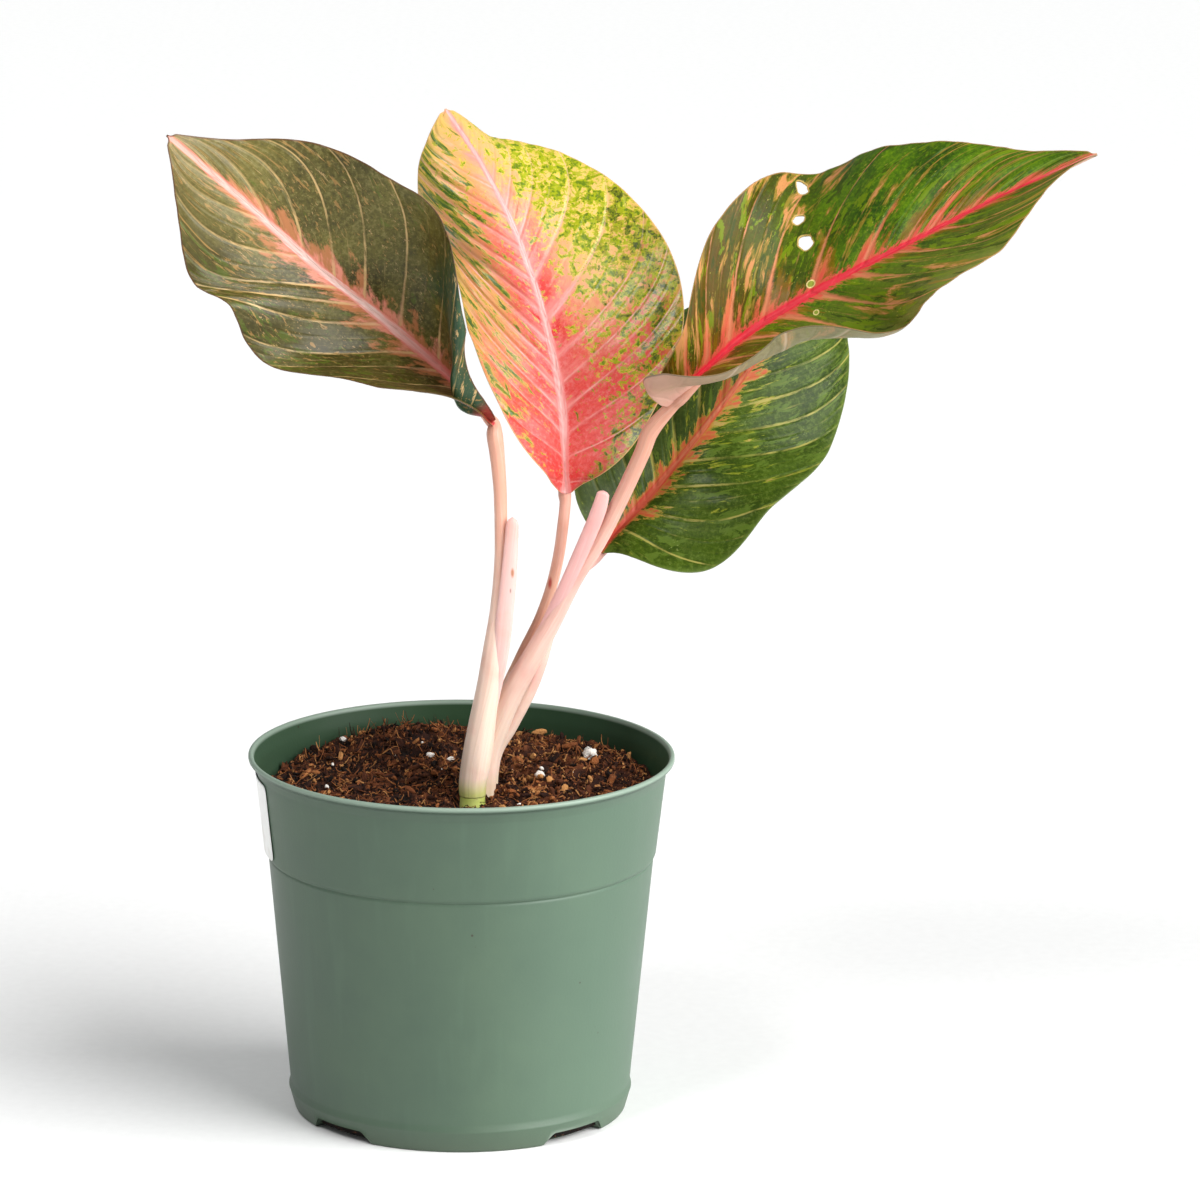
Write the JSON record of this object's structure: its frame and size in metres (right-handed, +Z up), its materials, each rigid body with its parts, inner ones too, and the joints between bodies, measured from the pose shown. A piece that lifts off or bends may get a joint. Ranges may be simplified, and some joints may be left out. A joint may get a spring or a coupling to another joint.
{
  "type": "potted chinese evergreen",
  "caption": "Chinese evergreen houseplant with broad waved leaves on pink stalks, growing from one short cane in a round tapered nursery pot filled with potting mix.",
  "frame": {"origin": "centre of the pot's flat underside", "axes": "+Z up out of the pot's mouth, -Y towards the viewer, so that the label is at -X and the longest leaf reaches out to +X"},
  "size_m": [0.3301, 0.1655, 0.3636],
  "materials": {
    "pot_plastic": "satin",
    "label_paper": "satin",
    "potting_mix": "matte",
    "cane": "satin",
    "stalk_cream": "satin",
    "stalk_pink": "satin",
    "blade_bronze": "satin",
    "blade_coral": "satin",
    "blade_green": "satin",
    "blade_deep_green": "satin"
  },
  "bodies": {
    "root": {"pot": "pot_plastic", "label": "label_paper", "potting_mix": "potting_mix", "cane_and_roots": "cane", "stalk_left": "stalk_cream", "stalk_middle": "stalk_cream", "stalk_right": "stalk_pink", "stalk_back": "stalk_pink", "blade_left": "blade_bronze", "blade_middle": "blade_coral", "blade_right": "blade_green", "blade_back": "blade_deep_green"}
  },
  "joints": []
}
